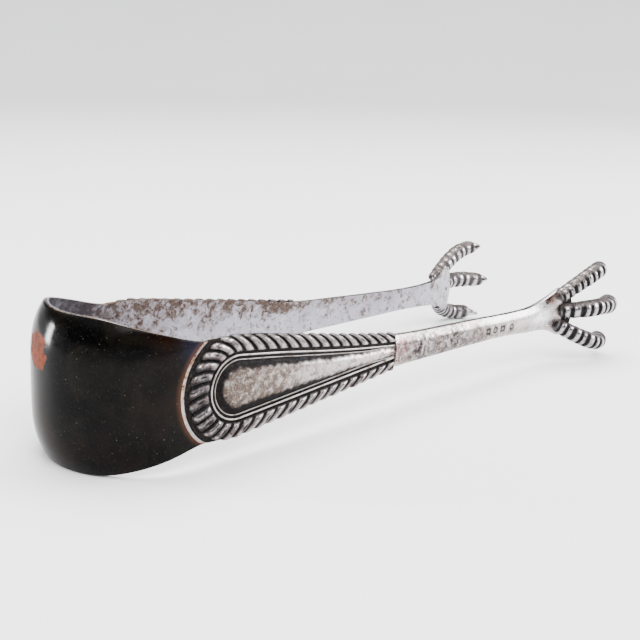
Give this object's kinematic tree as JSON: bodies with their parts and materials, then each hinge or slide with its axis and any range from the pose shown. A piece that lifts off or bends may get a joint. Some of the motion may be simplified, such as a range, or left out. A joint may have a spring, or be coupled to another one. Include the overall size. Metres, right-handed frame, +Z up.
{
  "type": "ice tongs",
  "caption": "Spring-bow ice tongs with gadrooned, tapering arms that end in clawed bird's feet; squeezing the arms closes the talons on a piece of ice.",
  "frame": {"origin": "centre of the footprint, on the table the tongs rest on", "axes": "+X from the spring bow towards the claws, +Y towards the left arm (the one on the left when looking from the bow to the claws), +Z up; the tongs lie with the bow's lower edge and both lower toes on the table"},
  "size_m": [0.1718, 0.0572, 0.0341],
  "materials": {
    "bow_blackened": "glossy black coat outside, tarnished silver inside",
    "arm_silver": "polished silver with brown and rose tarnish",
    "border_silver": "polished lobes with blackened recesses",
    "rail_silver": "bright line between blackened grooves",
    "toe_silver": "ridged, with blackened rings",
    "talon_silver": "polished"
  },
  "bodies": {
    "bow": {"spring_bow": "bow_blackened"},
    "left_side": {"left_arm": "arm_silver", "left_gadroon_border": "border_silver", "left_bead_rail": "rail_silver", "left_upper_toe": "toe_silver", "left_middle_toe": "toe_silver", "left_lower_toe": "toe_silver", "left_upper_talon": "talon_silver", "left_middle_talon": "talon_silver", "left_lower_talon": "talon_silver"},
    "right_side": {"right_arm": "arm_silver", "right_gadroon_border": "border_silver", "right_bead_rail": "rail_silver", "right_upper_toe": "toe_silver", "right_middle_toe": "toe_silver", "right_lower_toe": "toe_silver", "right_upper_talon": "talon_silver", "right_middle_talon": "talon_silver", "right_lower_talon": "talon_silver"}
  },
  "joints": [
    {"name": "left_arm_squeeze", "type": "hinge", "parent": "bow", "child": "left_side", "pos_m": [-0.0782, 0.01331, 0.01695], "axis": [-0.0284, 0, -0.9996], "range_deg": [-2.5, 6.8], "stiffness_Nm_per_rad": 3, "deforming": ["spring_bow"]},
    {"name": "right_arm_squeeze", "type": "hinge", "parent": "bow", "child": "right_side", "pos_m": [-0.0782, -0.01331, 0.01695], "axis": [0.0284, 0, 0.9996], "range_deg": [-2.5, 6.8], "stiffness_Nm_per_rad": 3, "deforming": ["spring_bow"]}
  ],
  "couplings": [
    {"joint": "right_arm_squeeze", "follows": "left_arm_squeeze", "ratio": 1}
  ]
}
